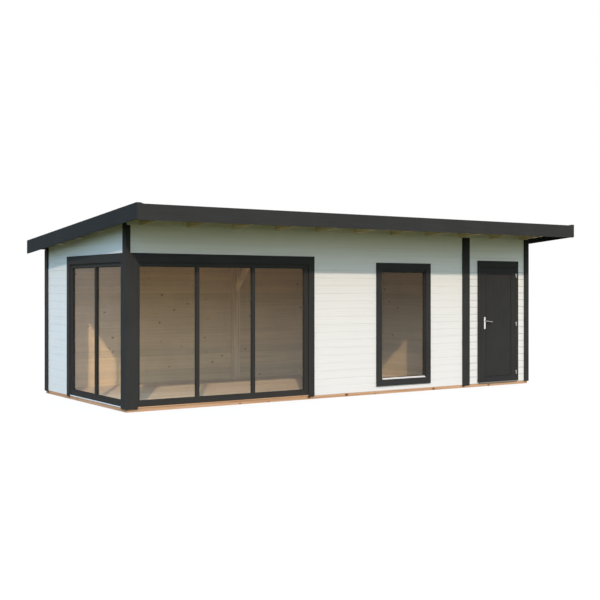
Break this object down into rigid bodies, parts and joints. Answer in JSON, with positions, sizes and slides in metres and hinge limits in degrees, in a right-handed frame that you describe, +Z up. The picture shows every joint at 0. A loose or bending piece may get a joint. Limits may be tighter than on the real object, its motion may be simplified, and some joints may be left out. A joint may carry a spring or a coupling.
{
  "type": "garden office pod",
  "caption": "Log-built garden office with a glazed corner, a tall window, a store room behind a hinged door and a shallow single-slope roof on open rafters.",
  "frame": {"origin": "on the ground under the middle of the roof", "axes": "+X along the front from left to right, +Y from the front to the back, +Z up"},
  "size_m": [7.868, 3.998, 2.6701],
  "materials": {
    "logs_white": "white paint on planed logs",
    "pine_natural": "natural pine, planed",
    "pine_treated": "pressure treated pine",
    "trim_dark": "anthracite paint",
    "frame_dark": "anthracite paint, satin",
    "door_dark": "anthracite paint, satin",
    "glass_clear": "clear double glazing",
    "roof_felt": "mineral roofing felt",
    "verge_dark": "anthracite paint",
    "aluminium_bar": "mill aluminium",
    "handle_metal": "satin silver",
    "hinge_steel": "zinc plated"
  },
  "bodies": {
    "pod": {"front_wall_header": "logs_white", "front_wall_piers": "logs_white", "front_wall_window_infill": "logs_white", "left_wall_header": "logs_white", "left_wall_rear": "logs_white", "right_wall": "logs_white", "back_wall": "logs_white", "top_logs": "logs_white", "glazing_sills": "logs_white", "floor_boards": "pine_natural", "partition_wall": "pine_natural", "back_post": "pine_natural", "knee_brace": "pine_natural", "rafters": "pine_natural", "verge_lookouts": "pine_natural", "roof_deck": "pine_natural", "foundation_long_beams": "pine_treated", "foundation_cross_beams": "pine_treated", "corner_post": "trim_dark", "corner_boards_long_sides": "trim_dark", "corner_boards_ends": "trim_dark", "partition_boards": "trim_dark", "casing_head_boards": "trim_dark", "casing_side_boards": "trim_dark", "front_fascia": "trim_dark", "rear_fascia": "trim_dark", "barge_boards": "trim_dark", "front_glazing_rails": "frame_dark", "front_glazing_uprights": "frame_dark", "left_glazing_rails": "frame_dark", "left_glazing_uprights": "frame_dark", "window_rails": "frame_dark", "window_stiles": "frame_dark", "door_jambs": "frame_dark", "door_head": "frame_dark", "front_glass": "glass_clear", "left_glass": "glass_clear", "window_glass": "glass_clear", "roof_membrane": "roof_felt", "verge_caps": "verge_dark", "window_drip_bar": "aluminium_bar", "door_threshold": "aluminium_bar", "hinge_pins": "hinge_steel"},
    "store_door": {"door_leaf": "door_dark", "hinge_knuckles": "hinge_steel", "handle_plates": "handle_metal"},
    "door_lever": {"handle_levers": "handle_metal"}
  },
  "joints": [
    {"name": "store_door_hinge", "type": "hinge", "parent": "pod", "child": "store_door", "pos_m": [3.4065, -1.21, 1.019], "axis": [0, 0, 1], "range_deg": [0, 110]},
    {"name": "door_lever_turn", "type": "hinge", "parent": "store_door", "child": "door_lever", "pos_m": [2.677, -1.181, 1.08], "axis": [0, 1, 0], "range_deg": [0, 40], "stiffness_Nm_per_rad": 1, "springref_deg": -28.65}
  ]
}
